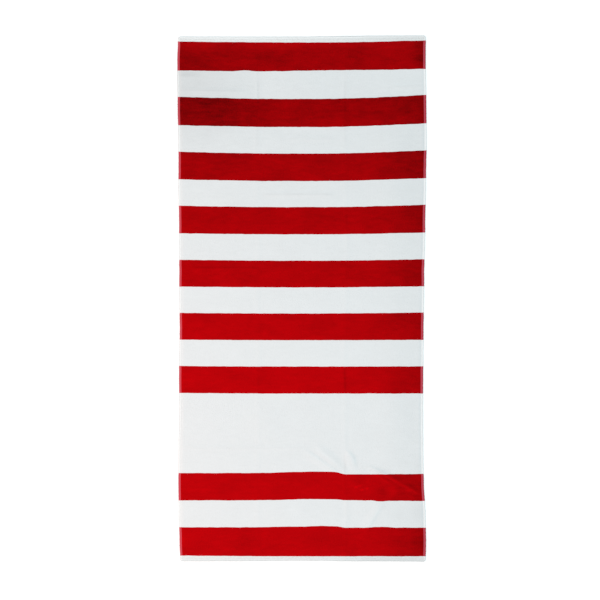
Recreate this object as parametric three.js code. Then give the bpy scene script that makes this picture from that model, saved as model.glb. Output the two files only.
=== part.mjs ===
// A striped beach towel laid out face up: one length of cotton velour terry, with a flat-woven
// selvedge down each long side and a turned hem across each short end.
// Millimetres. +X runs across the towel, +Y along it and +Z up from the surface it lies on.
// The origin is on that surface, under the middle of the towel.
import * as THREE from "three";
import { mergeVertices } from "three/addons/utils/BufferGeometryUtils.js";

// Cut and woven sizes.
const WIDTH = 711; // 28 in, selvedge to selvedge
const LENGTH = 1524; // 60 in, hem to hem
const PILE_THICKNESS = 3;
const SELVEDGE = { width: 8, thickness: 1.2 };
const HEM = { topDepth: 19, bottomDepth: 16, thickness: 2.2, edgeThickness: 1.4 };
const SHOULDER = 3; // the pile rises from the flat weave over this distance
const FOLD_ROUNDING = 2; // a hem's folded edge is round over this distance
const CORNER_RADIUS = 7;
const SETTLED_EDGE = 14; // the cloth settles onto the surface over this distance from its outline

// How far each selvedge lies outside its straight line, from the bottom hem to the top one.
const SIDES = [
  { y: -762, left: -1, right: 5 },
  { y: -700, left: 1, right: 6 },
  { y: -620, left: 3, right: 4 },
  { y: -530, left: 5, right: 0 },
  { y: -430, left: 3, right: -2 },
  { y: -340, left: 1, right: -3 },
  { y: -230, left: 2, right: -3 },
  { y: -90, left: 0, right: -1 },
  { y: 50, left: 2, right: 0 },
  { y: 200, left: 2, right: 3 },
  { y: 330, left: 4, right: 5 },
  { y: 450, left: 4, right: 8 },
  { y: 560, left: 7, right: 8 },
  { y: 690, left: 8, right: 5 },
  { y: 762, left: 5, right: 5 },
];

// How far each hem's folded edge lies beyond its straight line, from left to right. The cloth has
// been folded lengthwise in three, and its right third lies a little longer than the rest.
const ENDS = [
  { x: -356, bottom: -1, top: 1 },
  { x: -210, bottom: -1, top: 1 },
  { x: 0, bottom: -2, top: 0 },
  { x: 126, bottom: 0, top: 1 },
  { x: 215, bottom: 1, top: 4 },
  { x: 356, bottom: 2, top: 4 },
];

// Folds left from storage: low soft ridges across a straight line. The long ones run from hem to
// hem, and the cross ones over part of the width.
const LONG_FOLDS = [
  { x: -126, rise: 1.6, reach: 14 },
  { x: 126, rise: 1.8, reach: 14 },
];
const CROSS_FOLDS = [
  { y: 602, from: -350, to: -140, rise: 1.2, reach: 12 },
  { y: 602, from: 240, to: 350, rise: 1.2, reach: 12 },
  { y: 462, from: -60, to: 110, rise: 1.2, reach: 12 },
  { y: 303, from: -130, to: 110, rise: 1.6, reach: 12 },
  { y: 92, from: -340, to: -110, rise: 1.4, reach: 12 },
  { y: 92, from: 130, to: 330, rise: 1.2, reach: 12 },
  { y: -434, from: -350, to: 30, rise: 1.6, reach: 12 },
];

// Wrinkles beside the second stripe from the bottom, each a ridge along its own line.
const WRINKLES = [
  { name: "long pucker", rise: 3.5, reach: 15, path: [[-10, -430], [60, -466], [140, -508]] },
  { name: "bowed pucker", rise: 4, reach: 15, path: [[130, -424], [156, -466], [148, -518]] },
  { name: "short pucker", rise: 3, reach: 15, path: [[160, -482], [260, -510]] },
  { name: "drag in the stripe", rise: 3.5, reach: 15, path: [[216, -500], [346, -584]] },
  { name: "drag in the last band", rise: 2.4, reach: 15, path: [[246, -576], [194, -668]] },
];
const RUN_OUT = 45; // a fold or wrinkle fades over this length at each of its ends

// Broad swells, where the cloth stands slightly off the surface between its folds.
const SWELLS = [
  { x: -112, y: -98, reachX: 60, reachY: 60, rise: 2.4 },
  { x: -105, y: -360, reachX: 80, reachY: 95, rise: 2 },
  { x: 262, y: 330, reachX: 85, reachY: 420, rise: 2.4 },
  { x: 266, y: -300, reachX: 80, reachY: 330, rise: 2.2 },
  { x: -230, y: 560, reachX: 110, reachY: 120, rise: 2.5 },
  { x: -10, y: 640, reachX: 120, reachY: 90, rise: 1.6 },
  { x: 210, y: -575, reachX: 110, reachY: 90, rise: 2.2 },
  { x: -60, y: -610, reachX: 130, reachY: 80, rise: 1.4 },
];

// Grid pitch of the cloth's faces: coarse where it lies flat, finer where it is wrinkled.
const FLAT_PITCH = 46;
const WRINKLED_PITCH = 22;
const WRINKLED = { left: 0, right: 345, bottom: -600, top: -425 };

const HALF_WIDTH = WIDTH / 2;
const HALF_LENGTH = LENGTH / 2;
const { lerp, smoothstep } = THREE.MathUtils;

// 1 at distance 0, falling smoothly to 0 at distance reach.
function bell(distance, reach) {
  return distance < reach ? (1 + Math.cos((Math.PI * distance) / reach)) / 2 : 0;
}

// The value in one column of a table whose rows are in order of key, smooth from row to row.
function lookUp(table, key, at, column) {
  const next = table.findIndex((row) => row[key] > at);
  if (next === 0) return table[0][column];
  if (next < 0) return table.at(-1)[column];
  const [low, high] = [table[next - 1], table[next]];
  return lerp(low[column], high[column], smoothstep(at, low[key], high[key]));
}

// Rise of one wrinkle at a point: its bell across the nearest stretch, times its run-out along it.
function wrinkleRise({ path, rise, reach }, point) {
  const corners = path.map(([x, y]) => new THREE.Vector3(x, y, 0));
  const stretches = corners.slice(1).map((end, i) => new THREE.Line3(corners[i], end));
  const whole = stretches.reduce((sum, stretch) => sum + stretch.distance(), 0);
  const rises = [];
  let before = 0;
  for (const stretch of stretches) {
    const nearest = stretch.closestPointToPoint(point, true, new THREE.Vector3());
    const along = before + nearest.distanceTo(stretch.start);
    const runOut = smoothstep(Math.min(along, whole - along), 0, RUN_OUT);
    rises.push(rise * runOut * bell(nearest.distanceTo(point), reach));
    before += stretch.distance();
  }
  return Math.max(...rises);
}

// How far the underside stands off the surface. It is 0 wherever the cloth lies flat.
function lift(x, y) {
  const point = new THREE.Vector3(x, y, 0);
  const folds = [
    ...LONG_FOLDS.map((fold) => fold.rise * bell(Math.abs(x - fold.x), fold.reach)),
    ...CROSS_FOLDS.map(
      (fold) =>
        fold.rise *
        bell(Math.abs(y - fold.y), fold.reach) *
        smoothstep(Math.min(x - fold.from, fold.to - x), 0, RUN_OUT),
    ),
    ...WRINKLES.map((wrinkle) => wrinkleRise(wrinkle, point)),
  ];
  const swells = SWELLS.map(
    ({ x: cx, y: cy, reachX, reachY, rise }) =>
      rise * bell(Math.hypot((x - cx) / reachX, (y - cy) / reachY), 1),
  );
  const inside = Math.min(HALF_WIDTH - Math.abs(x), HALF_LENGTH - Math.abs(y));
  return smoothstep(inside, 0, SETTLED_EDGE) * (Math.max(...folds) + Math.max(...swells));
}

// Thickness of the cloth: hem at the ends, else selvedge at the sides, else pile.
function thickness(x, y) {
  const fromSide = HALF_WIDTH - Math.abs(x);
  const fromEnd = HALF_LENGTH - Math.abs(y);
  const hemDepth = y > 0 ? HEM.topDepth : HEM.bottomDepth;
  const intoPile = smoothstep(fromSide, SELVEDGE.width, SELVEDGE.width + SHOULDER);
  const field = lerp(SELVEDGE.thickness, PILE_THICKNESS, intoPile);
  const hem = lerp(HEM.edgeThickness, HEM.thickness, smoothstep(fromEnd, 0, FOLD_ROUNDING));
  return lerp(hem, field, smoothstep(fromEnd, hemDepth, hemDepth + SHOULDER));
}

// Where a point of the true rectangle lies once its corners are rounded and its edges have
// wandered: the sides and ends move as their tables say, and the middle of the towel stays.
function laidOut(x, y) {
  const intoCorner = new THREE.Vector2(
    Math.max(0, Math.abs(x) - (HALF_WIDTH - CORNER_RADIUS)),
    Math.max(0, Math.abs(y) - (HALF_LENGTH - CORNER_RADIUS)),
  );
  const reach = intoCorner.length();
  const rounded = reach > 0 ? Math.max(intoCorner.x, intoCorner.y) / reach : 1;
  const squareX = Math.abs(x) - intoCorner.x * (1 - rounded);
  const squareY = Math.abs(y) - intoCorner.y * (1 - rounded);
  const sideShift = lookUp(SIDES, "y", y, x < 0 ? "left" : "right");
  const endShift = lookUp(ENDS, "x", x, y < 0 ? "bottom" : "top");
  return new THREE.Vector2(
    Math.sign(x) * (squareX + sideShift * (Math.abs(x) / HALF_WIDTH)),
    Math.sign(y) * (squareY + endShift * (Math.abs(y) / HALF_LENGTH)),
  );
}

// Grid lines across one direction: each line asked for, with even ones between them where the gap
// is wider than the pitch there.
function gridLines(asked, pitchAt) {
  const lines = [...new Set(asked)].sort((a, b) => a - b);
  const between = lines.slice(1).flatMap((line, i) => {
    const gap = line - lines[i];
    const steps = Math.ceil(gap / pitchAt((line + lines[i]) / 2));
    return Array.from({ length: steps }, (_, step) => lines[i] + (gap * step) / steps);
  });
  return [...between, lines.at(-1)];
}

// The lines on which a fold needs points: its crest and both of its flanks.
function foldLines(centre, reach) {
  return [centre - reach * 0.6, centre, centre + reach * 0.6];
}

// The lines at both edges of one direction, from their distances inside the edge.
function edgeLines(half, lowDistances, highDistances) {
  return [...lowDistances.map((d) => d - half), ...highDistances.map((d) => half - d)];
}

// The cloth: a slab cut into a grid whose points are then moved to where the cloth lies.
function clothGeometry() {
  const sideLines = [0, CORNER_RADIUS / 2, SELVEDGE.width, SELVEDGE.width + SHOULDER];
  const endLines = (depth) => [0, FOLD_ROUNDING, CORNER_RADIUS, depth, depth + SHOULDER];
  const columns = gridLines(
    [
      ...edgeLines(HALF_WIDTH, sideLines, sideLines),
      ...LONG_FOLDS.flatMap((fold) => foldLines(fold.x, fold.reach)),
      WRINKLED.left,
    ],
    (x) => (x > WRINKLED.left && x < WRINKLED.right ? WRINKLED_PITCH : FLAT_PITCH),
  );
  const rows = gridLines(
    [
      ...edgeLines(HALF_LENGTH, endLines(HEM.bottomDepth), endLines(HEM.topDepth)),
      ...CROSS_FOLDS.flatMap((fold) => foldLines(fold.y, fold.reach)),
      WRINKLED.bottom,
    ],
    (y) => (y > WRINKLED.bottom && y < WRINKLED.top ? WRINKLED_PITCH : FLAT_PITCH),
  );
  const [across, along] = [columns.length - 1, rows.length - 1];
  const slab = new THREE.BoxGeometry(across, along, 1, across, along, 1);
  slab.deleteAttribute("normal");
  slab.deleteAttribute("uv");
  const cloth = mergeVertices(slab);
  const points = cloth.getAttribute("position");
  for (let i = 0; i < points.count; i++) {
    const x = columns[Math.round(points.getX(i) + across / 2)];
    const y = rows[Math.round(points.getY(i) + along / 2)];
    const upper = points.getZ(i) > 0 ? thickness(x, y) : 0;
    const laid = laidOut(x, y);
    points.setXYZ(i, laid.x, laid.y, lift(x, y) + upper);
  }
  cloth.computeBoundingBox();
  const middle = cloth.boundingBox.getCenter(new THREE.Vector3());
  cloth.translate(-middle.x, -middle.y, 0);
  cloth.computeVertexNormals();
  return cloth;
}

const towel = new THREE.Mesh(
  clothGeometry(),
  new THREE.MeshStandardMaterial({ color: "#b00207", roughness: 0.95, metalness: 0 }),
);
towel.name = "towel";

const group = new THREE.Group();
group.add(towel);

export default group;
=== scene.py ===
"""A striped beach towel laid out face up: sheared cotton velour printed in red, with a
flat-woven selvedge down each long side and a turned, lockstitched hem across each end.

Its tables are in millimetres, as a weaver gives sizes, and MM turns them to metres. A point
of the cloth is known by its place on the flat towel, across (x) and along (y) from its
middle, and the functions below work out where that place lies.
"""

import math

import bpy
import numpy as np
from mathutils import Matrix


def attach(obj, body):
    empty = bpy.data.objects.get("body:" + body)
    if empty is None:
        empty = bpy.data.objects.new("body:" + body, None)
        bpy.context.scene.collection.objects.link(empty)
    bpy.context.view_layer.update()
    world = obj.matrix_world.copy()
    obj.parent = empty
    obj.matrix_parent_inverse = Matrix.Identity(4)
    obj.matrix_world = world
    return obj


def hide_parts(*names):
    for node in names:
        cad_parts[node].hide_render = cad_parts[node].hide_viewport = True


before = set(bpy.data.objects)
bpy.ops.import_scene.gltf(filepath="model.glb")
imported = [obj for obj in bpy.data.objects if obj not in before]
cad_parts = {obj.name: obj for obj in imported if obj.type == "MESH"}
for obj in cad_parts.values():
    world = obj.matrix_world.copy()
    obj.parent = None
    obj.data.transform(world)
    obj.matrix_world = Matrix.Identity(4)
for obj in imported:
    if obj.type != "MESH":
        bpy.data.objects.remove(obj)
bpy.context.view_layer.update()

MM = 0.001
SPOT = "x y reach_x reach_y by"  # the columns of every table of spots on the cloth


def rows(columns, *values):
    """A table: for each row of values, a dict with the columns' names."""
    return [dict(zip(columns.split(), row)) for row in values]


# -------- The flat towel --------
WIDTH = 711  # 28 in, selvedge to selvedge
LENGTH = 1524  # 60 in, hem to hem
HALF_WIDTH = WIDTH / 2
HALF_LENGTH = LENGTH / 2
ENDS_AT = {"top": HALF_LENGTH, "bottom": -HALF_LENGTH}

PILE_THICKNESS = 3.0
WEAVE_THICKNESS = 2.1
SELVEDGE_WIDTH = 7.0
SHOULDER = 4.0  # the pile rises from the flat weave over this distance
EDGE_ROUNDING = 1.4
LEAST_FULLNESS = 0.14  # the rim's height at the very edge, as a share of the thickness
CORNER_RADIUS = 7

# Each end has a strip of flat weave, turned under for the hem and sewn near the turned edge.
HEM_THICKNESS = 2.6
ENDS_FLAT = {"top": 19.0, "bottom": 16.0}  # from the end to the pile
STITCHED_AT = {"top": 10.5, "bottom": 9.0}
TURNED_PAST_STITCHES = 1.6
HEM_STEP = 1.2  # the turned layer's step down to the flat weave is this wide
# The stitches sink into a groove, with small puckers on both sides of it.
GROOVE = {"depth": 0.35, "reach": 2.2}
PUCKERS = {"rise": 0.2, "reach": 9, "sizes": (8, 300), "seed": 4}
# The shears leave the pile slightly uneven, in humps of about these sizes.
SHEARING = rows("by sizes seed", (0.15, (30, 22), 1), (0.09, (11, 9), 2))
# The outline wavers this much. Its waves are short along it, and very long the other way.
WAVER = 0.35
SELVEDGE_WAVES = {"sizes": (14, 2000), "seed": 5}
END_WAVES = {"sizes": (12, 2000), "seed": 6}

# -------- How it lies --------
SETTLED_EDGE = 14  # the cloth settles onto the floor over this distance from its outline
# How far each selvedge lies outside its straight line, from the bottom end to the top one.
SIDES = {
    "y": (-762, -700, -620, -530, -430, -340, -230, -90, 50, 200, 330, 450, 560, 690, 762),
    "left": (-1.2, 0.6, 2.8, 4, 3.2, 1.3, 2.2, 0.1, 1.4, 1.9, 3.7, 3.6, 6.2, 7.3, 4.8),
    "right": (2.7, 3.5, 1.6, -3.1, -4.7, -5.2, -5, -3.7, -2.1, 1.1, 3.3, 5.2, 4.2, 2.7, 3),
}
# How far each end lies beyond its straight line, from left to right.
ENDS = {
    "x": (-356, -210, 0, 60, 126, 215, 356),
    "bottom": (-1.2, -1.5, -3.2, -3.0, -1.3, -1.4, -0.5),
    "top": (-2.2, -2.4, -2.5, -1.7, -0.6, 0.6, 0.8),
}
# The weave bows: what runs straight across lies this much higher at the selvedges than in
# the middle. It starts to rise at these places, and steepens by this power.
BOW = {
    "y": (-762, -745, -664, -584, -506, -274, -119, -43, 34, 188, 342, 420, 500, 578, 662, 742, 762),
    "left": (0, 2.4, 0, -0.6, 0, 1.6, 1.6, 1.9, 2.4, 3, 5.2, 5.6, 5.4, 6.2, 1.2, 3.2, 2),
    "right": (0, 0, 0, -2.4, 0.9, 0, 1, 3.2, 3, 5.2, 8.6, 9.6, 10.8, 12.2, 6.4, 5.6, 4),
}
BOW_STARTS = {"left": -65, "right": 55}
BOW_POWER = 1.6
END_REACH = 17  # from an end inwards, its own line gives way to the bow over this distance
# Where wrinkles have drawn the weave up (+) or down (-).
DRAWN = rows(
    SPOT,
    (-164, 662, 40, 45, 2.6),
    (228, -584, 30, 36, -2.2),
    (225, -664, 50, 34, 2.6),
    (-150, 660, 210, 40, -1.4),
    (110, 660, 200, 40, 1.7),
    (0, -662, 55, 34, -1.5),
    (-270, 743, 55, 20, -0.6),
    (290, 743, 50, 20, 0.9),
)
# Below the wide panel the cloth has slipped along the right long fold: it is drawn up to the
# left of the fold, most at one place, and has dropped to its right.
SLIP = {
    "y": (-745, -664, -584, -506, -430),
    "left": (0, 3.8, 3.5, 4.1, 0),
    "right": (0, -1.2, 0.4, -3.6, 0),
}
SLIP_PLACE = {"from": 95, "to": 128, "most_at": 40, "reach": 190}

# Folds left from storage are low pressed ridges, with the pile parted along each crest.
LONG_FOLDS = rows(
    "x rise reach",
    (-127, 0.4, 13),
    (127, 0.5, 13),
)
# A cross fold's last column is the painted shade along its crest.
CROSS_FOLDS = rows(
    "y from to rise reach dulled",
    (601, -352, -140, 0.8, 11, 0.03),
    (609, 240, 352, 0.8, 11, 0.015),
    (464, -60, 110, 0.8, 11, 0.01),
    (303, -125, 100, 1.1, 11, 0.042),
    (90, -352, -100, 0.9, 11, 0.11),
    (90, 120, 340, 0.9, 11, 0.035),
    (-432, -352, 30, 1.1, 11, 0.012),
)
# A long fold strays from its straight line by this much, in waves of about the first size.
WANDER = {"by": 4.5, "sizes": (150, 50), "seed": 7}
# The pile's parting on a long fold grows deeper towards the top end, and comes and goes.
PARTING = {"depth": 0.35, "reach": 2.6, "long": 0.5, "cross": 0.8}
PARTING_GROWS = {"from": 420, "to": 600, "by": 1.1}
PARTING_COMES = {"mean": 0.6, "by": 0.4, "sizes": (60, 900), "seed": 3}
# How much painted shade darkens each long fold's crest, along the towel.
CREASE_SHADE = {
    "y": (
        -746, -700, -640, -584, -545, -515, -485, -465, -440, -280, -255, -215, -190, 40, 70,
        105, 120, 200, 225, 255, 270, 420, 460, 490, 520, 560, 585, 620, 655, 690,
    ),
    "left": (
        0, 0, 0, 0, 0.03, 0, 0, 0, 0, 0, 0.05, 0.05, 0, 0, 0.03,
        0.02, 0, 0, 0, 0, 0, 0, 0.025, 0.02, 0, 0, 0.045, 0.045, 0.02, 0.01,
    ),
    "right": (
        0.03, 0.05, 0.015, 0.015, 0.055, 0.03, 0.075, 0.03, 0, 0, 0.17, 0.17, 0, 0, 0.04,
        0.03, 0, 0.03, 0.06, 0.05, 0, 0, 0.02, 0.02, 0.06, 0.06, 0.03, 0.03, 0.01, 0,
    ),
}
CREASE_REACH = {"long": 6.5, "cross": 4.5}
# Each wrinkle is a ridge. Its sides are how far it reaches to the left and right of its path.
WRINKLES = rows(
    "rise sides path",
    # the two long puckers, the lower one first
    (1.9, (9, 26), ((-4, -434), (36, -458), (65, -479), (98, -502), (122, -520))),
    (2.2, (26, 22), ((30, -424), (76, -460), (122, -502))),
    # the bowed pucker where they end
    (3.0, (10, 34), ((112, -438), (134, -445), (147, -460), (153, -482), (152, -502))),
    # the long drag, and the short one below it
    (3.0, (10, 5.5), ((180, -481), (222, -497), (262, -519), (287, -534), (333, -560), (352, -571))),
    (1.3, (6, 12), ((172, -483), (189, -492), (211, -503), (249, -529), (282, -545))),
    # the drag in the last bands
    (2.0, (9, 26), ((242, -574), (202, -638), (176, -678))),
)
# Painted light along each wrinkle: a painted highlight along its crest, drawn as pile that opens, and
# painted shade on its left side, drawn as pile that lies over.
WRINKLE_HIGHLIGHT_AND_SHADE = {"open": 0.2, "open_reach": 5.5, "over": 0.09, "over_at": 11, "over_reach": 9}
RUN_OUT = 40  # a fold or wrinkle fades over this length at each of its ends
# Broad swells, where the cloth stands slightly off the floor between its folds.
SWELLS = rows(
    SPOT,
    (-112, -98, 45, 45, 1.6),
    (-105, -360, 80, 95, 2.0),
    (262, 330, 85, 420, 2.4),
    (266, -300, 80, 330, 2.2),
    (-230, 560, 110, 120, 2.5),
    (-10, 640, 120, 90, 1.6),
    (210, -575, 110, 90, 2.2),
    (-60, -610, 130, 80, 1.4),
)

# -------- Print, nap and painted shade ---
# The print counts 19 bands of about 78 mm (3 in) from the top end. Even bands are red and
# odd ones white, but band 14 is left white too, which makes the wide panel. These are the
# lines where two bands meet, at mid-width.
BORDERS = {
    "band": (0, 1, 2, 3, 4, 5, 6, 7, 8, 9, 10, 11, 12, 13, 16, 17, 18, 19),
    "y": (
        743.2, 660.3, 579.2, 497.8, 420.9, 341.3, 265.8, 186.8, 110.6, 33.1,
        -42.5, -120, -196.2, -274.5, -504.8, -584, -662, -746.4,
    ),
}
BAND = 78
WHITE_BAND = 14
# Nap is how far the pile is brushed over, up to 1, with painted shade added in. Brushed pile shows
# its dark side, much more in the red than in the white. The painted shade grows towards the top end
# and the right selvedge. Below 0, where the pile is opened, it is a painted highlight.
NAP_AND_SHADE_LIMITS = (-0.6, 1)
SHADE_TOWARDS_TOP = {"from": -250, "to": 600, "by": 0.31}
SHADE_TOWARDS_RIGHT = {"from": 150, "to": 360, "by": 0.25}
NAP_AND_SHADE_SPOTS = rows(
    SPOT,
    (0, 545, 620, 90, 0.08),
    (-290, 520, 240, 190, 0.17),
    (-345, 705, 110, 90, 0.12),
    (160, 700, 50, 60, 0.07),
    (320, 710, 190, 310, -0.25),
    (-160, -700, 60, 60, 0.12),
    # the first red band: lighter along the hem, darker at its right end and lower left
    (-20, 745, 420, 28, -0.15),
    (-320, 732, 85, 26, -0.2),
    (356, 710, 55, 70, 0.22),
    (-280, 692, 75, 36, 0.08),
    (-120, 709, 70, 18, 0.05),
    (-40, 706, 28, 50, 0.09),
    (-62, 678, 32, 20, 0.09),
    (30, 684, 30, 26, -0.07),
    (-130, 701, 120, 24, 0.04),
    (150, 706, 40, 26, 0.05),
    (336, 738, 32, 22, 0.13),
    (338, 686, 26, 18, 0.1),
    (296, 690, 24, 34, -0.06),
    # the second: darker along its top, lighter along its foot
    (170, 574, 260, 26, 0.11),
    (-290, 572, 140, 24, 0.12),
    (-48, 566, 55, 22, -0.1),
    (-213, 528, 26, 34, -0.08),
    (130, 500, 260, 30, -0.09),
    (-143, 540, 32, 60, 0.08),
    (103, 516, 30, 34, -0.1),
    (342, 546, 26, 36, 0.06),
    (-260, 528, 44, 20, 0.05),
    (-25, 395, 75, 45, -0.08),
    (-190, 402, 44, 16, -0.05),
    (-318, 388, 30, 24, 0.04),
    (305, 355, 100, 44, -0.09),
    (258, 225, 80, 60, -0.08),
    (110, 78, 130, 55, 0.07),
    (90, -85, 240, 55, 0.05),
    (140, -80, 30, 45, 0.05),
    (-109, -96, 20, 20, -0.1),
    (165, -230, 70, 50, 0.05),
    # round the wrinkles: painted shade beside them and painted highlights on them
    (175, -512, 40, 12, 0.12),
    (165, -524, 28, 16, 0.16),
    (222, -519, 34, 12, 0.06),
    (157, -544, 7, 6, -0.35),
    (168, -540, 7, 5, -0.3),
    (175, -552, 8, 5, -0.45),
    (189, -548, 7, 6, -0.4),
    (290, -512, 55, 16, 0.1),
    (232, -554, 18, 20, 0.12),
    (264, -557, 24, 24, -0.2),
    (310, -553, 14, 7, -0.12),
    (326, -562, 14, 7, -0.14),
    (318, -528, 26, 26, 0.05),
    (335, -572, 30, 22, 0.08),
    (347, -540, 26, 36, 0.06),
    # the last red band
    (110, -712, 110, 46, 0.09),
    (62, -690, 24, 44, 0.05),
    (352, -705, 45, 60, 0.13),
    (334, -706, 36, 40, 0.06),
    (-80, -705, 100, 50, 0.05),
)
# Painted shade, a little, on red and white alike: towards the top left, at the hems, beside the
# wrinkles and near the right selvedge. Where by is below 0 it is a painted highlight.
PAINTED_SHADE_SPOTS = rows(
    SPOT,
    (-330, 600, 260, 220, 0.08),
    (330, 757, 300, 26, 0.06),
    (290, -757, 260, 22, 0.1),
    (0, -763, 700, 6, 0.06),
    (145, 762, 60, 3, 0.06),
    (198, -761, 64, 3, 0.06),
    (-62, 276, 4, 9, 0.03),
    (238, -498, 36, 13, 0.05),
    (-330, 650, 60, 14, 0.08),
    (-270, 589, 180, 11, -0.025),
    (-250, 753, 300, 16, -0.05),
    (300, -625, 75, 42, 0.015),
    (182, -492, 22, 18, 0.02),
    (-22, -618, 30, 28, -0.025),
    (338, -485, 16, 60, 0.025),
    (338, -625, 30, 60, 0.035),
)


# -------- Small tools --------
LATTICE = 512  # an uneven field repeats after this many humps
LATTICE_START = 1000  # it is read from here on, clear of the lattice's corner


def smooth(value, low, high):
    """0 up to low, 1 from high on, and smooth in between."""
    share = np.clip((value - low) / (high - low), 0, 1)
    return share * share * (3 - 2 * share)


def bell(distance, reach):
    """1 at distance 0, falling smoothly to 0 at distance reach."""
    return (1 + np.cos(np.pi * np.minimum(distance / reach, 1))) / 2


def hump(x, y, spot):
    """A spot's strength at a place: a bell with its own reach across and along."""
    off = np.hypot((x - spot["x"]) / spot["reach_x"], (y - spot["y"]) / spot["reach_y"])
    return spot["by"] * bell(off, 1)


def look_up(table, key, column, at):
    """One column of a table whose rows are in order of key, smooth from row to row."""
    keys, values = np.array(table[key], float), np.array(table[column], float)
    row = np.clip(np.searchsorted(keys, at) - 1, 0, len(keys) - 2)
    return values[row] + np.diff(values)[row] * smooth(at, keys[row], keys[row + 1])


def uneven(x, y, sizes, seed):
    """A smooth random field from -1 to 1, with humps of about these sizes in x and y."""
    across, along = x / sizes[0] + LATTICE_START, y / sizes[1] + LATTICE_START
    i, j = np.floor(across).astype(int), np.floor(along).astype(int)
    u, v = smooth(across - i, 0, 1), smooth(along - j, 0, 1)
    lattice = np.random.default_rng(seed).uniform(-1, 1, (LATTICE, LATTICE))

    def between(row):
        row = row % LATTICE
        return lattice[i % LATTICE, row] * (1 - u) + lattice[(i + 1) % LATTICE, row] * u

    return between(j) * (1 - v) + between(j + 1) * v


def linear(hex_colour):
    """An sRGB hex colour as the linear values that Blender reads."""
    parts = [int(hex_colour[i : i + 2], 16) / 255 for i in (1, 3, 5)]
    return tuple(c / 12.92 if c <= 0.04045 else ((c + 0.055) / 1.055) ** 2.4 for c in parts) + (1,)


def add(tree, kind, inputs=None, **settings):
    """A new node with its settings, and its inputs set to a value or fed by another socket."""
    node = tree.nodes.new(kind)
    for name, value in settings.items():
        setattr(node, name, value)
    for name, value in (inputs or {}).items():
        if isinstance(value, bpy.types.NodeSocket):
            tree.links.new(value, node.inputs[name])
        else:
            node.inputs[name].default_value = value
    return node


# -------- The cloth's form --------
def inside(x, y):
    """How far a place is inside the flat towel's outline."""
    return np.minimum(HALF_WIDTH - abs(x), HALF_LENGTH - abs(y))


def of_end(table, y):
    """A table's value for the end that a place is nearer to."""
    return np.where(y > 0, table["top"], table["bottom"])


def wandering(fold, y):
    """Where a long fold runs: it strays a few mm from its straight line."""
    return fold["x"] + WANDER["by"] * uneven(y, fold["x"], WANDER["sizes"], WANDER["seed"])


def run_out(x, fold):
    """The share of its full strength that a cross fold has at a place across the towel."""
    return smooth(np.minimum(x - fold["from"], fold["to"] - x), 0, RUN_OUT)


def fold_rise(x, y):
    """How high folds and wrinkles hold the cloth."""
    rises = [fold["rise"] * bell(abs(x - wandering(fold, y)), fold["reach"]) for fold in LONG_FOLDS]
    for fold in CROSS_FOLDS:
        rises.append(fold["rise"] * run_out(x, fold) * bell(abs(y - fold["y"]), fold["reach"]))
    for wrinkle in WRINKLES:
        rises.append(wrinkle_rise(x, y, wrinkle))
    return np.max(rises, axis=0)


def beside(x, y, wrinkle):
    """How far a place is from a wrinkle's path, positive on the path's left, and what share of
    its full height the wrinkle has there."""
    path = np.array(wrinkle["path"], float)
    lengths = np.hypot(*np.diff(path, axis=0).T)
    nearest, from_start, on_left, before = np.full_like(x, np.inf), 0, False, 0
    for start, end, length in zip(path, path[1:], lengths):
        step_x, step_y = (end - start) / length
        from_x, from_y = x - start[0], y - start[1]
        along = np.clip(from_x * step_x + from_y * step_y, 0, length)
        off = np.hypot(from_x - along * step_x, from_y - along * step_y)
        nearer = off < nearest
        nearest = np.where(nearer, off, nearest)
        from_start = np.where(nearer, before + along, from_start)
        on_left = np.where(nearer, from_y * step_x > from_x * step_y, on_left)
        before += length
    to_end = np.minimum(from_start, before - from_start)
    return np.where(on_left, nearest, -nearest), smooth(to_end, 0, RUN_OUT)


def wrinkle_rise(x, y, wrinkle):
    """A wrinkle's height: a ridge along its path, with straight runs from point to point."""
    off, share = beside(x, y, wrinkle)
    return wrinkle["rise"] * share * bell(abs(off), np.where(off > 0, *wrinkle["sides"]))


def lift(x, y):
    """How far the underside stands off the floor. It is 0 wherever the cloth lies flat."""
    swells = np.max([hump(x, y, swell) for swell in SWELLS], axis=0)
    return smooth(inside(x, y), 0, SETTLED_EDGE) * (fold_rise(x, y) + swells)


def pile_cover(x, y):
    """1 where there is pile, and 0 on the flat weave of selvedges and ends."""
    side = smooth(HALF_WIDTH - abs(x), SELVEDGE_WIDTH, SELVEDGE_WIDTH + SHOULDER)
    flat = of_end(ENDS_FLAT, y)
    return side * smooth(HALF_LENGTH - abs(y), flat, flat + SHOULDER)


def thickness(x, y):
    """The plain thickness of pile, flat weave and turned hem, before its edge is rounded."""
    turned = of_end(STITCHED_AT, y) + TURNED_PAST_STITCHES
    hem = 1 - smooth(HALF_LENGTH - abs(y), turned, turned + HEM_STEP)
    flat = WEAVE_THICKNESS + (HEM_THICKNESS - WEAVE_THICKNESS) * hem
    return flat + (PILE_THICKNESS - flat) * pile_cover(x, y)


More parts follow.
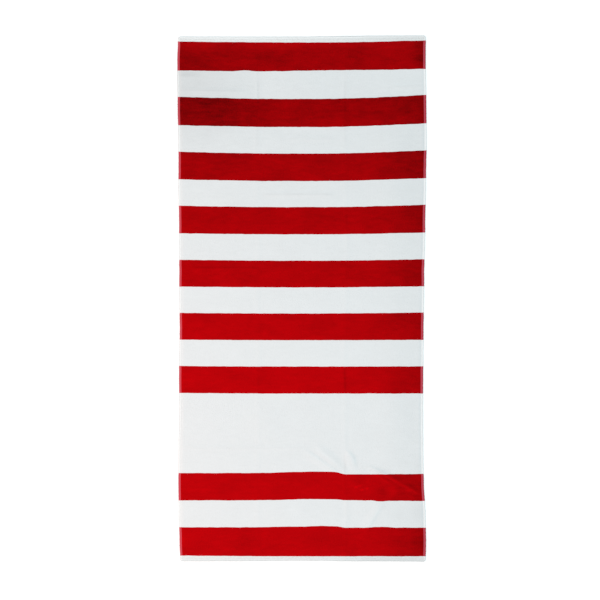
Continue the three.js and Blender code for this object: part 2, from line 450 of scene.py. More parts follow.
def relief(x, y):
    """What the top has over its plain thickness: uneven shearing, partings along the folds'
    crests, and the stitches' groove with the puckers beside it."""
    cover = pile_cover(x, y)
    shearing = sum(cut["by"] * uneven(x, y, cut["sizes"], cut["seed"]) for cut in SHEARING)
    grown = PARTING_GROWS["by"] * smooth(y, PARTING_GROWS["from"], PARTING_GROWS["to"])
    comes = PARTING_COMES["by"] * uneven(y, x, PARTING_COMES["sizes"], PARTING_COMES["seed"])
    partings = 0
    for fold in LONG_FOLDS:
        crest = bell(abs(x - wandering(fold, y)), PARTING["reach"])
        partings = partings + (PARTING["long"] + grown) * crest * (PARTING_COMES["mean"] + comes)
    for fold in CROSS_FOLDS:
        crest = bell(abs(y - fold["y"]), PARTING["reach"])
        partings = partings + PARTING["cross"] * run_out(x, fold) * crest
    from_stitches = abs(HALF_LENGTH - abs(y) - of_end(STITCHED_AT, y))
    groove = -GROOVE["depth"] * bell(from_stitches, GROOVE["reach"])
    puckers = PUCKERS["rise"] * bell(from_stitches, PUCKERS["reach"])
    puckers = puckers * uneven(x, y, PUCKERS["sizes"], PUCKERS["seed"])
    return cover * (shearing - PARTING["depth"] * partings) + (1 - cover) * (groove + puckers)


def laid_out(x, y):
    """Where each place of the flat towel lies on the floor."""
    corner_x = np.maximum(0, abs(x) - (HALF_WIDTH - CORNER_RADIUS))
    corner_y = np.maximum(0, abs(y) - (HALF_LENGTH - CORNER_RADIUS))
    reach = np.maximum(np.hypot(corner_x, corner_y), 1e-9)
    cut = 1 - np.maximum(corner_x, corner_y) / reach
    round_x = x - np.sign(x) * corner_x * cut
    round_y = y - np.sign(y) * corner_y * cut

    side = np.where(x < 0, -look_up(SIDES, "y", "left", y), look_up(SIDES, "y", "right", y))
    side = side + np.sign(x) * WAVER * uneven(y, x, **SELVEDGE_WAVES)
    bow = 0
    for name, start in BOW_STARTS.items():
        past = np.clip((x - start) / (math.copysign(HALF_WIDTH, start) - start), 0, 1)
        bow = bow + look_up(BOW, "y", name, y) * past**BOW_POWER
    over = smooth(x, SLIP_PLACE["from"], SLIP_PLACE["to"])
    most = bell(abs(x - SLIP_PLACE["most_at"]), SLIP_PLACE["reach"])
    slipped_up = look_up(SLIP, "y", "left", y) * most
    slipped_down = look_up(SLIP, "y", "right", y)
    drawn = sum(hump(x, y, spot) for spot in DRAWN)
    drawn = drawn + (1 - over) * slipped_up + over * slipped_down
    end = np.where(y < 0, -look_up(ENDS, "x", "bottom", x), look_up(ENDS, "x", "top", x))
    end = end + WAVER * uneven(x, y, **END_WAVES)
    at_end = 1 - smooth(HALF_LENGTH - abs(y), 0, END_REACH)
    return (
        round_x + side * abs(x) / HALF_WIDTH,
        round_y + end * at_end + (bow + drawn) * (1 - at_end),
    )


def surfaces(x, y):
    """The heights of the underside and the top, with the outline rounded between them."""
    past = 1 - np.clip(inside(x, y) / EDGE_ROUNDING, 0, 1)
    fullness = np.maximum(np.sqrt(1 - past**2), LEAST_FULLNESS)
    whole = thickness(x, y)
    under = lift(x, y) + whole * (1 - fullness) / 2
    over = lift(x, y) + whole * (1 + fullness) / 2
    return under, over + relief(x, y) * fullness


# -------- The towel's mesh --------
ACROSS_PITCH = 5.0
ALONG_PITCH = 4.7
WRINKLED = {"from": -600, "to": -420, "pitch": 3.0}
EDGE_LINES = (0, 0.6, EDGE_ROUNDING, 3, 5)  # from the outline inwards
END_LINES = (*EDGE_LINES, 7)
STITCH_LINES = (-1.2, 0, 1.2, 2.4)  # across the stitches
CREST_LINES = (-1, -0.7, -0.45, -0.2, -0.08, 0.08, 0.2, 0.45, 0.7, 1)  # across a fold, in reaches
SLOTS = {"pile": 0, "weave": 1, "loops": 2}  # the towel's finishes, in order
CENTRING_GRID = (143, 305)  # columns and rows that are laid out to find the middle
# The UV map shows the top and the underside side by side, each centred on its half.
MAP_HALVES = {"top": 0.25, "underside": 0.75}
MAP_MARGIN = 40
RIM_ON_MAP = 8  # the rim's foot lies outside the top by half of this


def even_lines(asked, pitch_at):
    """Each line asked for with even ones between, in an even number of gaps."""
    asked = np.unique(np.round(asked, 3))
    lines = []
    for low, high in zip(asked, asked[1:]):
        gaps = math.ceil((high - low) / pitch_at((low + high) / 2))
        lines += list(np.linspace(low, high, gaps, endpoint=False))
    lines.append(asked[-1])
    if len(lines) % 2 == 0:
        widest = int(np.argmax(np.diff(lines)))
        lines.insert(widest + 1, (lines[widest] + lines[widest + 1]) / 2)
    return np.array(lines)


def towel_lines():
    """The places of the mesh's lines along the flat towel, and of those across it."""
    edge = [*EDGE_LINES, SELVEDGE_WIDTH, SELVEDGE_WIDTH + SHOULDER / 2, SELVEDGE_WIDTH + SHOULDER]
    columns = [HALF_WIDTH - d for d in edge] + [d - HALF_WIDTH for d in edge]
    columns += [fold["x"] + share * fold["reach"] for fold in LONG_FOLDS for share in CREST_LINES]
    across = list(BORDERS["y"])
    for name, half in ENDS_AT.items():
        flat, stitches = ENDS_FLAT[name], STITCHED_AT[name]
        lines = [*END_LINES, *(stitches + off for off in STITCH_LINES)]
        lines += [flat, flat + SHOULDER / 2, flat + SHOULDER]
        across += [half - math.copysign(d, half) for d in lines]
    across += [fold["y"] + share * fold["reach"] for fold in CROSS_FOLDS for share in CREST_LINES]

    def along_pitch(y):
        return WRINKLED["pitch"] if WRINKLED["from"] < y < WRINKLED["to"] else ALONG_PITCH

    return even_lines(columns, lambda x: ACROSS_PITCH), even_lines(across, along_pitch)


def centring():
    """What brings the laid outline's middle to the middle of the frame."""
    across, along = (
        np.linspace(-half, half, count)
        for half, count in zip((HALF_WIDTH, HALF_LENGTH), CENTRING_GRID)
    )
    x, y = laid_out(*(part.ravel() for part in np.meshgrid(across, along)))
    return (x.min() + x.max()) / 2, (y.min() + y.max()) / 2


def band_at(y):
    """The print's count of bands from the top end, at a place along the towel."""
    count = np.interp(-y, -np.array(BORDERS["y"]), BORDERS["band"])
    count = count - np.maximum(y - BORDERS["y"][0], 0) / BAND
    return count + np.maximum(BORDERS["y"][-1] - y, 0) / BAND


def nap_and_painted_shade_at(x, y):
    """How far the pile is brushed over, with painted shade added towards the top end, the right
    selvedge and the wrinkles' left sides, and painted highlights on the wrinkles' crests.
    """
    nap_and_painted_shade = SHADE_TOWARDS_TOP["by"] * smooth(y, SHADE_TOWARDS_TOP["from"], SHADE_TOWARDS_TOP["to"])
    nap_and_painted_shade = nap_and_painted_shade + SHADE_TOWARDS_RIGHT["by"] * smooth(x, SHADE_TOWARDS_RIGHT["from"], SHADE_TOWARDS_RIGHT["to"])
    nap_and_painted_shade = nap_and_painted_shade + sum(hump(x, y, spot) for spot in NAP_AND_SHADE_SPOTS)
    pile = WRINKLE_HIGHLIGHT_AND_SHADE
    # Each wrinkle adds a painted highlight on its crest and painted shade on its left side.
    for wrinkle in WRINKLES:
        off, share = beside(x, y, wrinkle)
        over = pile["over"] * bell(abs(off - pile["over_at"]), pile["over_reach"])
        nap_and_painted_shade = nap_and_painted_shade + share * (over - pile["open"] * bell(abs(off), pile["open_reach"]))
    return np.clip(nap_and_painted_shade, *NAP_AND_SHADE_LIMITS)


def painted_shade_at(x, y):
    """How much painted shade darkens the cloth, as a share of its brightness."""
    dull = sum(hump(x, y, spot) for spot in PAINTED_SHADE_SPOTS)
    for fold, side in zip(LONG_FOLDS, ("left", "right")):
        crease = bell(abs(x - wandering(fold, y)), CREASE_REACH["long"])
        dull = dull + look_up(CREASE_SHADE, "y", side, y) * crease
    for fold in CROSS_FOLDS:
        crease = bell(abs(y - fold["y"]), CREASE_REACH["cross"])
        dull = dull + fold["dulled"] * run_out(x, fold) * crease
    return dull


def keep_cloth_facts(mesh, x, y):
    """Gives the mesh's points what the finishes read: their place on the flat towel in metres, the
    print's band count, how far the pile is brushed with painted shade added in, and the painted shade
    of spots and creases."""
    place = mesh.attributes.new("cloth", "FLOAT_VECTOR", "POINT")
    flat = np.stack([x, y, np.zeros_like(x)], 1) * MM
    place.data.foreach_set("vector", flat.astype(np.float32).ravel())
    facts = {"band": band_at(y), "nap_and_painted_shade": nap_and_painted_shade_at(x, y), "painted_shade": painted_shade_at(x, y)}
    for name, value in facts.items():
        made = mesh.attributes.new(name, "FLOAT", "POINT")
        made.data.foreach_set("value", value.astype(np.float32))


def towel_mesh(middle):
    """The closed mesh of the cloth: a fine top, an underside on every second line, and a rim."""
    lines = towel_lines()
    x, y = (part.ravel() for part in np.meshgrid(*lines, indexing="ij"))
    laid_x, laid_y = laid_out(x, y)
    under, over = surfaces(x, y)
    top = np.arange(x.size).reshape([len(line) for line in lines])
    kept = top[::2, ::2]
    below = x.size + np.arange(kept.size).reshape(kept.shape)
    source = np.concatenate([top.ravel(), kept.ravel()])
    height = np.concatenate([over, under[kept.ravel()]])
    points = np.stack([laid_x[source] - middle[0], laid_y[source] - middle[1], height], 1)

    def cells(grid):
        corners = (grid[:-1, :-1], grid[1:, :-1], grid[1:, 1:], grid[:-1, 1:])
        return np.stack(corners, -1).reshape(-1, 4)

    rim = []
    for upper, lower in (
        (top[:, 0], below[:, 0]),
        (top[-1, :], below[-1, :]),
        (top[::-1, -1], below[::-1, -1]),
        (top[0, ::-1], below[0, ::-1]),
    ):
        for i in range(len(lower) - 1):
            rim.append([lower[i], lower[i + 1], *upper[2 * i : 2 * i + 3][::-1]])
    upper_faces, lower_faces = cells(top).tolist(), cells(below)[:, ::-1].tolist()
    faces = [*upper_faces, *lower_faces, *np.array(rim).tolist()]

    mesh = bpy.data.meshes.new("towel_cloth")
    mesh.from_pydata((points * MM).tolist(), [], faces)
    mesh.polygons.foreach_set("use_smooth", [True] * len(faces))
    keep_cloth_facts(mesh, x[source], y[source])

    face_x, face_y = (np.array([part[source[face]].mean() for face in faces]) for part in (x, y))
    at_side = HALF_WIDTH - abs(face_x) < SELVEDGE_WIDTH
    flat = at_side | (HALF_LENGTH - abs(face_y) < of_end(ENDS_FLAT, face_y))
    underneath = np.zeros(len(faces), bool)
    underneath[len(upper_faces) : len(faces) - len(rim)] = True
    slots = np.where(flat, SLOTS["weave"], np.where(underneath, SLOTS["loops"], SLOTS["pile"]))
    slots[len(faces) - len(rim) :] = SLOTS["weave"]
    mesh.polygons.foreach_set("material_index", slots.astype(np.int32))
    unroll(mesh, x[source], y[source], underneath, x.size)
    mesh.update()
    return mesh


def unroll(mesh, x, y, underneath, top_points):
    """Lays the top and the underside side by side on a UV map, with the rim round the top."""
    corners = np.empty(len(mesh.loops), np.int32)
    mesh.loops.foreach_get("vertex_index", corners)
    counts = np.empty(len(mesh.polygons), np.int32)
    mesh.polygons.foreach_get("loop_total", counts)
    below = np.repeat(underneath, counts)
    rim_foot = ~below & (corners >= top_points)
    span = LENGTH + MAP_MARGIN
    u = x[corners] * np.where(rim_foot, 1 + RIM_ON_MAP / WIDTH, 1) / span
    v = y[corners] * np.where(rim_foot, 1 + RIM_ON_MAP / LENGTH, 1) / span
    u = np.where(below, MAP_HALVES["underside"] - u, MAP_HALVES["top"] + u)
    place = np.stack([u, 0.5 + v], 1)
    mesh.uv_layers.new(name="OFBake").uv.foreach_set("vector", place.astype(np.float32).ravel())


# -------- Finishes --------
# A colour mix has these sockets, and it blends two colours or multiplies them.
MIX_SHARE, MIX_FIRST, MIX_SECOND, MIXED = 0, 6, 7, 2
BLEND = {"data_type": "RGBA"}
MULTIPLY = {"data_type": "RGBA", "blend_type": "MULTIPLY"}
CENTRED = {"From Min": -0.5, "From Max": 0.5}  # the range of a cloudy field
# The finest parts of the cloth are drawn coarser than they are, so that they show.
TUFTS = (3.2, 2.6)  # across and along: tufts are 1.6 mm apart
THREAD_PITCH = 1.8  # the ground's threads are 0.6 mm apart
LOOP_PITCH = 3.4  # terry loops are 2 mm apart
TWIST_PITCH = 0.9  # of the sewing thread
# How the print's borders wander: the sizes of the waves, a seed and how far. The fibres make
# the borders ragged in steps of their own size.
BORDER_WAVES = (((34, 60), 3, 2.4), ((12, 30), 5, 1.2))
FIBRES = (2.2, 2.2)
# The dyed ground's colours on the left and on the right, from the edge threads inwards. The right
# ones are darker copies of the left: painted shade on the right selvedge.
DYED_GROUND = (("#ecdcde", "#a62634"), ("#d23f4d", "#c23e4e"), ("#d9525f", "#ca5160"))


def new_finish(name):
    """An empty material and its node tree."""
    material = bpy.data.materials.new(name)
    material.use_nodes = True
    material.node_tree.nodes.clear()
    return material, material.node_tree


def summed(tree, start, *terms):
    """Start, plus each term's field times its share."""
    total = start
    for field, share in terms:
        term = {0: field, 1: share, 2: total}
        total = add(tree, "ShaderNodeMath", term, operation="MULTIPLY_ADD").outputs[0]
    return total


def blotches(tree, place, sizes, seed, detail=2.0):
    """A cloudy field about 0 with blotches of this size (across, along) in mm."""
    scale = (1 / sizes[0] / MM, 1 / sizes[1] / MM, 1)
    scaled = add(
        tree, "ShaderNodeMapping", {"Vector": place, "Location": (seed, seed, 0), "Scale": scale}
    )
    noise = add(
        tree, "ShaderNodeTexNoise", {"Vector": scaled.outputs[0], "Scale": 1.0, "Detail": detail}
    )
    centred = add(tree, "ShaderNodeMath", {0: noise.outputs["Fac"], 1: 0.5}, operation="SUBTRACT")
    return centred.outputs[0]


def printed_red(tree, raggedness):
    """1 where the cloth is printed: the even bands but one. Its borders wander by half a
    millimetre over a few centimetres, and the fibres make them ragged by raggedness mm."""
    place = add(tree, "ShaderNodeAttribute", attribute_name="cloth").outputs["Vector"]
    band = add(tree, "ShaderNodeAttribute", attribute_name="band").outputs["Fac"]
    for sizes, seed, reach in (*BORDER_WAVES, (FIBRES, 8, raggedness)):
        band = summed(tree, band, (blotches(tree, place, sizes, seed), reach / BAND))
    pair = add(tree, "ShaderNodeMath", {0: band, 1: 2.0}, operation="FLOORED_MODULO")
    even = add(tree, "ShaderNodeMath", {0: pair.outputs[0], 1: 1.0}, operation="LESS_THAN")
    in_band = {0: band, 1: WHITE_BAND + 0.5, 2: 0.5}
    left_white = add(tree, "ShaderNodeMath", in_band, operation="COMPARE")
    both = {0: even.outputs[0], 1: left_white.outputs[0]}
    return add(tree, "ShaderNodeMath", both, operation="SUBTRACT", use_clamp=True).outputs[0]


def finish_cloth(tree, colour, shade, height, depth, sheen, roughness):
    """The cloth's shader: its colour times a shade, no gloss of its own, a little sheen from
    stray fibres, and a bump that is depth mm deep."""
    mix = {MIX_SHARE: 1.0, MIX_FIRST: colour, MIX_SECOND: shade}
    shaded = add(tree, "ShaderNodeMix", mix, **MULTIPLY)
    bump = add(tree, "ShaderNodeBump", {"Height": height, "Strength": 1.0, "Distance": depth * MM})
    shader = add(
        tree,
        "ShaderNodeBsdfPrincipled",
        {
            "Base Color": shaded.outputs[MIXED],
            "Roughness": roughness,
            "Normal": bump.outputs[0],
            "Sheen Weight": sheen,
            "Sheen Roughness": 0.5,
            "Specular IOR Level": 0.0,
            "IOR": 1.5,
        },
    )
    add(tree, "ShaderNodeOutputMaterial", {"Surface": shader.outputs[0]})


def velour():
    """Cotton velour: loops of soft-spun cotton, sheared to an even pile and printed in one
    dye, which gives a matt, light-drinking red and a soft, slightly cool white."""
    material, tree = new_finish("sheared cotton velour, dye printed")
    place = add(tree, "ShaderNodeAttribute", attribute_name="cloth").outputs["Vector"]
    nap_and_painted_shade = add(tree, "ShaderNodeAttribute", attribute_name="nap_and_painted_shade").outputs["Fac"]
    painted_shade = add(tree, "ShaderNodeAttribute", attribute_name="painted_shade").outputs["Fac"]
    # The brightness left after the painted shade of spots and creases.
    less_painted_shade = add(tree, "ShaderNodeMath", {0: 1.0, 1: painted_shade}, operation="SUBTRACT").outputs[0]
    clouds = blotches(tree, place, (85, 42), 21, 3.0)
    streaks = blotches(tree, place, (26, 9), 34, 3.0)
    tufts = blotches(tree, place, TUFTS, 55)
    strength = summed(tree, 1.0, (nap_and_painted_shade, 1.1))

    def shade(nap_share, *mottle_shares):
        """1 less the painted shade and how far the pile is brushed, which carries painted shade too,
        with a mottle that is stronger in brushed pile.
        """
        mottle = summed(tree, 0.0, *zip((clouds, streaks, tufts), mottle_shares))
        return summed(tree, less_painted_shade, (nap_and_painted_shade, -nap_share), (mottle, strength))

    printed = printed_red(tree, 0.7)
    # Both shades carry painted shade and painted highlights as well as the pile's mottle.
    colour, shades = (
        add(
            tree,
            "ShaderNodeMix",
            {MIX_SHARE: printed, MIX_FIRST: white, MIX_SECOND: red},
            **BLEND,
        ).outputs[MIXED]
        for white, red in (
            (linear("#e9eced"), linear("#ba0006")),
            (shade(0.12, 0.04, 0.045, 0.085), shade(1.0, 0.3, 0.26, 0.42)),
        )
    )
    rough = add(tree, "ShaderNodeMapRange", {"Value": tufts, **CENTRED, "To Min": 0.9})
    finish_cloth(tree, colour, shades, tufts, 0.9, 0.06, rough.outputs[0])
    return material


def flat_weave():
    """Plain-woven cotton, where the dye takes thinly and the white threads show through: a pinker red
    than the pile's and a clear white. The selvedge's middle threads are the palest. Its outermost
    ones are pale on the left and crimson on the right, and the red is darker all down the right:
    painted shade. The white ground's outermost threads and the hems' turned edges are a little grey
    with painted shade."""
    material, tree = new_finish("plain-woven cotton ground")
    place = add(tree, "ShaderNodeAttribute", attribute_name="cloth").outputs["Vector"]
    nap_and_painted_shade = add(tree, "ShaderNodeAttribute", attribute_name="nap_and_painted_shade").outputs["Fac"]
    painted_shade = add(tree, "ShaderNodeAttribute", attribute_name="painted_shade").outputs["Fac"]
    axes = add(tree, "ShaderNodeSeparateXYZ", {"Vector": place}).outputs
    threads, inwards = [], []
    for axis, half in (("X", HALF_WIDTH), ("Y", HALF_LENGTH)):
        turned = {0: axes[axis], 1: math.pi / (THREAD_PITCH * MM)}
        phase = add(tree, "ShaderNodeMath", turned, operation="MULTIPLY").outputs[0]
        threads.append(add(tree, "ShaderNodeMath", {0: phase}, operation="SINE").outputs[0])
        out = add(tree, "ShaderNodeMath", {0: axes[axis]}, operation="ABSOLUTE").outputs[0]
        inward = add(tree, "ShaderNodeMath", {0: half * MM, 1: out}, operation="SUBTRACT")
        inwards.append(inward.outputs[0])
    weave = add(tree, "ShaderNodeMath", dict(enumerate(threads)), operation="MULTIPLY").outputs[0]
    slubs = blotches(tree, place, (2.5, 9), 13)
    from_side, from_end = inwards
    top = {0: HALF_LENGTH * MM, 1: axes["Y"]}
    from_top = add(tree, "ShaderNodeMath", top, operation="SUBTRACT").outputs[0]
    nearest = add(tree, "ShaderNodeMath", {0: from_side, 1: from_top}, operation="MINIMUM")

    def changing(distance, colour, *steps):
        """A colour that changes inwards. A step has the distances in mm where the change
        starts and ends, and the colour further in."""
        for low, high, inner in steps:
            limits = {"Value": distance, "From Min": low * MM, "From Max": high * MM}
            share = add(tree, "ShaderNodeMapRange", limits).outputs[0]
            mix = {MIX_SHARE: share, MIX_FIRST: colour, MIX_SECOND: inner}
            colour = add(tree, "ShaderNodeMix", mix, **BLEND).outputs[MIXED]
        return colour

    on_right = add(tree, "ShaderNodeMath", {0: axes["X"], 1: 0.0}, operation="GREATER_THAN")
    # The right-hand colours are darker copies: painted shade on the right selvedge.
    zones = []
    for left, right in DYED_GROUND:
        mix = {MIX_SHARE: on_right.outputs[0], MIX_FIRST: linear(left), MIX_SECOND: linear(right)}
        zones.append(add(tree, "ShaderNodeMix", mix, **BLEND).outputs[MIXED])
    edge_threads, outer, middle = zones
    dyed = changing(nearest.outputs[0], outer, (2.6, 4.4, middle))
    # The dyed ground takes a share of the painted shade of the pile beside it.
    mix = {MIX_SHARE: 1.0, MIX_FIRST: dyed, MIX_SECOND: summed(tree, 1.0, (nap_and_painted_shade, -0.2))}
    dyed = add(tree, "ShaderNodeMix", mix, **MULTIPLY).outputs[MIXED]
    dyed = changing(nearest.outputs[0], edge_threads, (0.9, 1.5, dyed))
    # The white ground's outermost threads are grey: painted shade at the outline.
    undyed = changing(
        nearest.outputs[0],
        linear("#e4e6e6"),
        (1.2, 2.2, linear("#fdfefe")),
        (4.4, 5.8, linear("#eef1f1")),
    )
    # The hems' turned edges are grey: painted shade on the fold's flank.
    undyed = changing(from_end, linear("#b9bdbe"), (0.6, 1.3, undyed))
    mix = {MIX_SHARE: printed_red(tree, 0.8), MIX_FIRST: undyed, MIX_SECOND: dyed}
    colour = add(tree, "ShaderNodeMix", mix, **BLEND).outputs[MIXED]
    # The ground's brightness less the painted shade of spots and creases.
    less_painted_shade = add(tree, "ShaderNodeMath", {0: 0.98, 1: painted_shade}, operation="SUBTRACT").outputs[0]
    # The weave term darkens the hollows between the threads: painted shade. The slubs vary the tone
    # at random.
    shade = summed(tree, less_painted_shade, (weave, 0.05), (slubs, 0.12))
    rough = add(tree, "ShaderNodeMapRange", {"Value": slubs, **CENTRED, "To Min": 0.85})
    finish_cloth(tree, colour, shade, weave, 0.25, 0.03, rough.outputs[0])
    return material


def terry():
    """The back: uncut cotton loops, which give a knobbly, deeply matt white."""
    material, tree = new_finish("cotton terry loops, undyed")
    place = add(tree, "ShaderNodeAttribute", attribute_name="cloth").outputs["Vector"]
    cells = {"Vector": place, "Scale": 1 / (LOOP_PITCH * MM)}
    loops = add(tree, "ShaderNodeTexVoronoi", cells, feature="F1").outputs["Distance"]
    # Darker between the loops: painted shade in the hollows.
    between = {"Value": loops, "From Max": 0.9, "To Min": 1.0, "To Max": 0.72}
    shade = add(tree, "ShaderNodeMapRange", between).outputs[0]
    height = add(tree, "ShaderNodeMath", {0: 1.0, 1: loops}, operation="SUBTRACT").outputs[0]
    rough = add(tree, "ShaderNodeMapRange", {"Value": loops, "To Min": 0.9}).outputs[0]
    finish_cloth(tree, linear("#e9eced"), shade, height, 1.2, 0.08, rough)
    return material


def sewing_thread():
    """Spun polyester sewing thread: a fine twist, a little brighter than the cotton."""
    material, tree = new_finish("spun polyester sewing thread")
    place = add(tree, "ShaderNodeTexCoord").outputs["Object"]
    ridges = {"Vector": place, "Scale": 2 * math.pi / 20 / (TWIST_PITCH * MM)}
    twist = add(tree, "ShaderNodeTexWave", ridges, bands_direction="DIAGONAL").outputs["Fac"]
    # Darker in the twist's grooves: painted shade.
    shade = add(tree, "ShaderNodeMapRange", {"Value": twist, "To Min": 0.86}).outputs[0]
    rough = add(tree, "ShaderNodeMapRange", {"Value": twist, "To Min": 0.6, "To Max": 0.75})
    finish_cloth(tree, linear("#f2f3f2"), shade, twist, 0.1, 0.03, rough.outputs[0])
    return material


def weft_yarn():
    """Cotton weft yarn at the selvedge, where it turns back. The dye hardly reaches it, so it is a
    pale pink beside the red bands, with crimson picks where it soaked through, most of them on the
    right: painted shade on the right selvedge."""
    material, tree = new_finish("cotton weft yarn")
    place = add(tree, "ShaderNodeTexCoord").outputs["Object"]
    fibres = blotches(tree, place, (1.2, 1.2), 5)
    across = add(tree, "ShaderNodeSeparateXYZ", {"Vector": place}).outputs["X"]
    on_right = add(tree, "ShaderNodeMath", {0: across, 1: 0.0}, operation="GREATER_THAN")
    # Many more crimson picks on the right: painted shade.
    wet = summed(tree, blotches(tree, place, (40, 5), 77, 0.0), (on_right.outputs[0], 0.14))
    soaked = add(tree, "ShaderNodeMapRange", {"Value": wet, "From Min": 0.06, "From Max": 0.12})
    pink, crimson = linear("#e6cdd0"), linear("#8f2233")
    mix = {MIX_SHARE: soaked.outputs[0], MIX_FIRST: pink, MIX_SECOND: crimson}
    dyed = add(tree, "ShaderNodeMix", mix, **BLEND).outputs[MIXED]
    mix = {MIX_SHARE: printed_red(tree, 0.5), MIX_FIRST: linear("#eceeee"), MIX_SECOND: dyed}
    colour = add(tree, "ShaderNodeMix", mix, **BLEND).outputs[MIXED]
    shade = summed(tree, 1.0, (fibres, 0.3))
    rough = add(tree, "ShaderNodeMapRange", {"Value": fibres, **CENTRED, "To Min": 0.85})
    finish_cloth(tree, colour, shade, fibres, 0.2, 0.03, rough.outputs[0])
    return material


# -------- What repeats along a path: stitches and weft returns --------
PATH_STEP = 2.0
# Sizes by name, where the path runs in from the selvedge, and how high it lies over the cloth.
STITCHES = {
    "sizes": {"Pitch": 3.5, "Stitch length": 3.2, "Thread width": 0.7, "Thread height": 0.5},
    "inwards": 3,
    "above": 0.25,
    "seed": 11,
}
RETURNS = {  # the weft turns back every 1.3 mm, drawn at twice that to show
    "sizes": {"Pitch": 2.6, "Yarn radius": 0.3, "Reach": 0.7},
    "inwards": 0.6,
    "above": -0.2,
    "seed": 17,
}


def new_object(name, data):
    """A new object in the scene."""
    made = bpy.data.objects.new(name, data)
    bpy.context.scene.collection.objects.link(made)
    return made


def new_tree(name, sizes):
    """A Geometry Nodes tree that takes a path, sizes in metres by name, a seed and a finish.
    It returns the tree and its inputs."""
    tree = bpy.data.node_groups.new(name, "GeometryNodeTree")
    kinds = {"Path": "Geometry", **dict.fromkeys(sizes, "Float"), "Seed": "Int", "Finish": "Material"}
    for socket, kind in kinds.items():
        tree.interface.new_socket(socket, in_out="INPUT", socket_type="NodeSocket" + kind)
    tree.interface.new_socket("Geometry", in_out="OUTPUT", socket_type="NodeSocketGeometry")
    return tree, add(tree, "NodeGroupInput").outputs


def end_tree(tree, given, one, faces, least, most):
    """Repeats one shape along the path, turned to face a direction and scaled by an uneven
    size between two limits, and ends the tree: real, smooth and finished."""
    line = add(tree, "GeometryNodeMeshToCurve", {"Mesh": given["Path"]}).outputs[0]
    pitch = {"Curve": line, "Length": given["Pitch"]}
    spaced = add(tree, "GeometryNodeResampleCurve", pitch, mode="LENGTH")
    turned = add(
        tree, "FunctionNodeAlignRotationToVector", {"Vector": faces}, axis="X", pivot_axis="Z"
    )
    limits = {"Min": least, "Max": most, "Seed": given["Seed"]}
    size = add(tree, "FunctionNodeRandomValue", limits, data_type="FLOAT_VECTOR")
    placed = add(
        tree,
        "GeometryNodeInstanceOnPoints",
        {
            "Points": spaced.outputs[0],
            "Instance": one.outputs[0],
            "Rotation": turned.outputs[0],
            "Scale": size.outputs[0],
        },
    )
    real = add(tree, "GeometryNodeRealizeInstances", {"Geometry": placed.outputs[0]})
    even = add(tree, "GeometryNodeSetShadeSmooth", {"Geometry": real.outputs[0]})
    finish = {"Geometry": even.outputs[0], "Material": given["Finish"]}
    done = add(tree, "GeometryNodeSetMaterial", finish)
    add(tree, "NodeGroupOutput", {"Geometry": done.outputs[0]})


def stitch_tree():
    """A row of lockstitches: plump, slightly uneven grains of thread that follow the path."""
    tree, given = new_tree("lockstitch row", STITCHES["sizes"])
    sides = {"X": given["Stitch length"], "Y": given["Thread width"], "Z": given["Thread height"]}
    size = add(tree, "ShaderNodeCombineXYZ", sides).outputs[0]
    ball = add(tree, "GeometryNodeMeshUVSphere", {"Segments": 8, "Rings": 5, "Radius": 0.5})
    grain = add(tree, "GeometryNodeTransform", {"Geometry": ball.outputs[0], "Scale": size})
    along = add(tree, "GeometryNodeInputTangent").outputs[0]
    end_tree(tree, given, grain, along, (0.86, 0.85, 0.9), (1.08, 1.15, 1.1))
    return tree


def return_tree():
    """Weft returns: half rings of yarn that stand out from the selvedge, side by side."""
    tree, given = new_tree("weft returns", RETURNS["sizes"])
    half_ring = add(
        tree,
        "GeometryNodeCurveArc",
        {
            "Resolution": 6,
            "Radius": given["Reach"],
            "Start Angle": -math.pi / 2,
            "Sweep Angle": math.pi,
        },
    )
    circle = {"Resolution": 5, "Radius": given["Yarn radius"]}
    yarn = add(tree, "GeometryNodeCurvePrimitiveCircle", circle).outputs[0]
    swept = {"Curve": half_ring.outputs[0], "Profile Curve": yarn, "Fill Caps": True}
    loop = add(tree, "GeometryNodeCurveToMesh", swept)
    outward = add(
        tree, "GeometryNodeInputNamedAttribute", {"Name": "outward"}, data_type="FLOAT_VECTOR"
    )
    end_tree(tree, given, loop, outward.outputs[0], (0.7, 0.9, 0.9), (1.15, 1.05, 1.1))
    return tree


def path_mesh(name, middle, runs):
    """Chains of points on the cloth, each run an array of flat x, flat y and height above the
    top, in mm. The points keep the cloth's facts and which way is outward."""
    points, links, flat, outward = [], [], [], []
    for x, y, above in runs:
        laid_x, laid_y = laid_out(x, y)
        height = surfaces(x, y)[1] + above
        links += [(len(points) + i, len(points) + i + 1) for i in range(len(x) - 1)]
        points += np.stack([laid_x - middle[0], laid_y - middle[1], height], 1).tolist()
        flat += np.stack([x, y], 1).tolist()
        outward += [(float(np.sign(value)), 0, 0) for value in x]
    mesh = bpy.data.meshes.new(name)
    mesh.from_pydata((np.array(points) * MM).tolist(), links, [])
    keep_cloth_facts(mesh, *np.array(flat).T)
    way = mesh.attributes.new("outward", "FLOAT_VECTOR", "POINT")
    way.data.foreach_set("vector", np.array(outward, np.float32).ravel())
    return mesh


def grow(name, middle, runs, tree, kind, finish):
    """Runs a tree along paths on the cloth and returns the result as a plain object."""
    start = new_object(name + "_path", path_mesh(name, middle, runs))
    modifier = start.modifiers.new(tree.name, "NODES")
    modifier.node_group = tree
    values = {size: value * MM for size, value in kind["sizes"].items()}
    values.update({"Seed": kind["seed"], "Finish": finish})
    for item in tree.interface.items_tree:
        if item.in_out == "INPUT" and item.name in values:
            modifier[item.identifier] = values[item.name]
    depsgraph = bpy.context.evaluated_depsgraph_get()
    mesh = bpy.data.meshes.new_from_object(
        start.evaluated_get(depsgraph), preserve_all_data_layers=True, depsgraph=depsgraph
    )
    start.modifiers.remove(modifier)
    bpy.data.objects.remove(start)
    mesh.materials.pop(index=0)  # the empty slot of the shape that the tree repeats
    mesh.name = name
    return new_object(name, mesh)


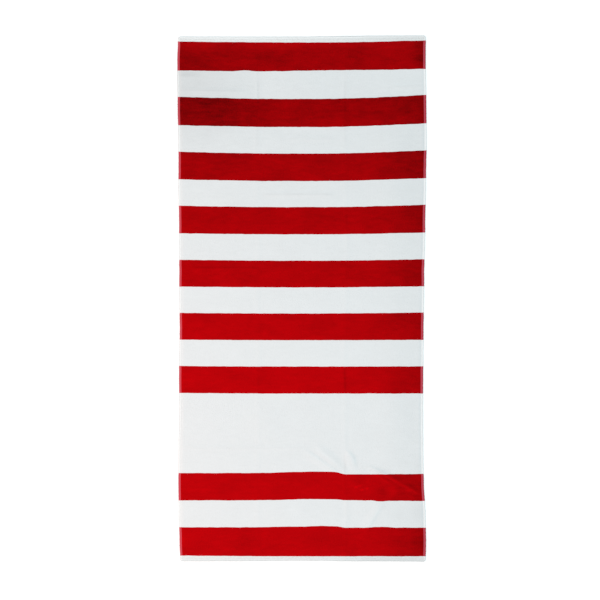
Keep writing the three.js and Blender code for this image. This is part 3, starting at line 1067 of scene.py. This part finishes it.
def hem_stitching(middle):
    """Both hems' rows of lockstitches."""
    reach = HALF_WIDTH - STITCHES["inwards"]
    x = np.arange(-reach, reach, PATH_STEP)
    runs = []
    for name, half in ENDS_AT.items():
        y = np.full_like(x, half - math.copysign(STITCHED_AT[name], half))
        runs.append((x, y, STITCHES["above"]))
    return grow("hem_stitching", middle, runs, stitch_tree(), STITCHES, sewing_thread())


def selvedge_returns(middle):
    """The weft's returns along both selvedges, from pile end to pile end."""
    low, high = ENDS_FLAT["bottom"] - HALF_LENGTH, HALF_LENGTH - ENDS_FLAT["top"]
    y = np.arange(low, high, PATH_STEP)
    reach = HALF_WIDTH - RETURNS["inwards"]
    runs = [(np.full_like(y, x), y, RETURNS["above"]) for x in (-reach, reach)]
    return grow("selvedge_returns", middle, runs, return_tree(), RETURNS, weft_yarn())


# -------- The towel --------
middle = centring()
towel = new_object("towel_cloth", towel_mesh(middle))
for finish in (velour(), flat_weave(), terry()):
    towel.data.materials.append(finish)
stitching = hem_stitching(middle)
returns = selvedge_returns(middle)

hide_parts("towel")
for piece in (towel, stitching, returns):
    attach(piece, "root")

# -------- Floor, light and camera, in metres --------
FLOOR_HALF = 40.0
# An even cool fill from all round, and a broad, warm, soft lamp low to the left.
FILL = {"colour": (0.853, 0.969, 1.0, 1), "strength": 0.913}
LAMP = {"place": (-3.0, -1.1, 2.0), "side": 1.8, "watts": 58.4, "colour": (1.0, 0.534, 0.406)}
# The camera looks straight down with the towel's length up the picture.
SEEN_SIDE = 1.740  # across the square picture, at the floor
SEEN_MIDDLE = (-0.00530, -0.00409)
LENS, SENSOR = 85, 36  # mm

floor_corners = [(x * FLOOR_HALF, y * FLOOR_HALF, 0) for x, y in ((-1, -1), (1, -1), (1, 1), (-1, 1))]
floor_mesh = bpy.data.meshes.new("floor")
floor_mesh.from_pydata(floor_corners, [], [(0, 1, 2, 3)])
floor = new_object("floor", floor_mesh)
# A pale table with a faint glow of its own, so that it stays white round the towel.
table_top, tree = new_finish("pale light table")
shader = add(
    tree,
    "ShaderNodeBsdfPrincipled",
    {
        "Base Color": linear("#f9f9f9"),
        "Roughness": 1.0,
        "Specular IOR Level": 0.0,
        "Emission Color": (1, 1, 1, 1),
        "Emission Strength": 0.2,
    },
)
add(tree, "ShaderNodeOutputMaterial", {"Surface": shader.outputs[0]})
floor_mesh.materials.append(table_top)

world = bpy.data.worlds.new("studio")
world.use_nodes = True
background = world.node_tree.nodes["Background"]
background.inputs["Color"].default_value = FILL["colour"]
background.inputs["Strength"].default_value = FILL["strength"]
bpy.context.scene.world = world

lamp_data = bpy.data.lights.new("soft lamp", "AREA")
lamp_data.shape = "SQUARE"
lamp_data.size = LAMP["side"]
lamp_data.energy = LAMP["watts"]
lamp_data.color = LAMP["colour"]
lamp = new_object("soft lamp", lamp_data)
lamp.location = LAMP["place"]
lamp.rotation_euler = lamp.location.to_track_quat("Z", "Y").to_euler()

camera_data = bpy.data.cameras.new("camera")
camera_data.lens = LENS
camera_data.sensor_width = SENSOR
camera = new_object("camera", camera_data)
camera.location = (*SEEN_MIDDLE, SEEN_SIDE * LENS / SENSOR)
bpy.context.scene.camera = camera
bpy.context.scene.view_settings.view_transform = "Standard"
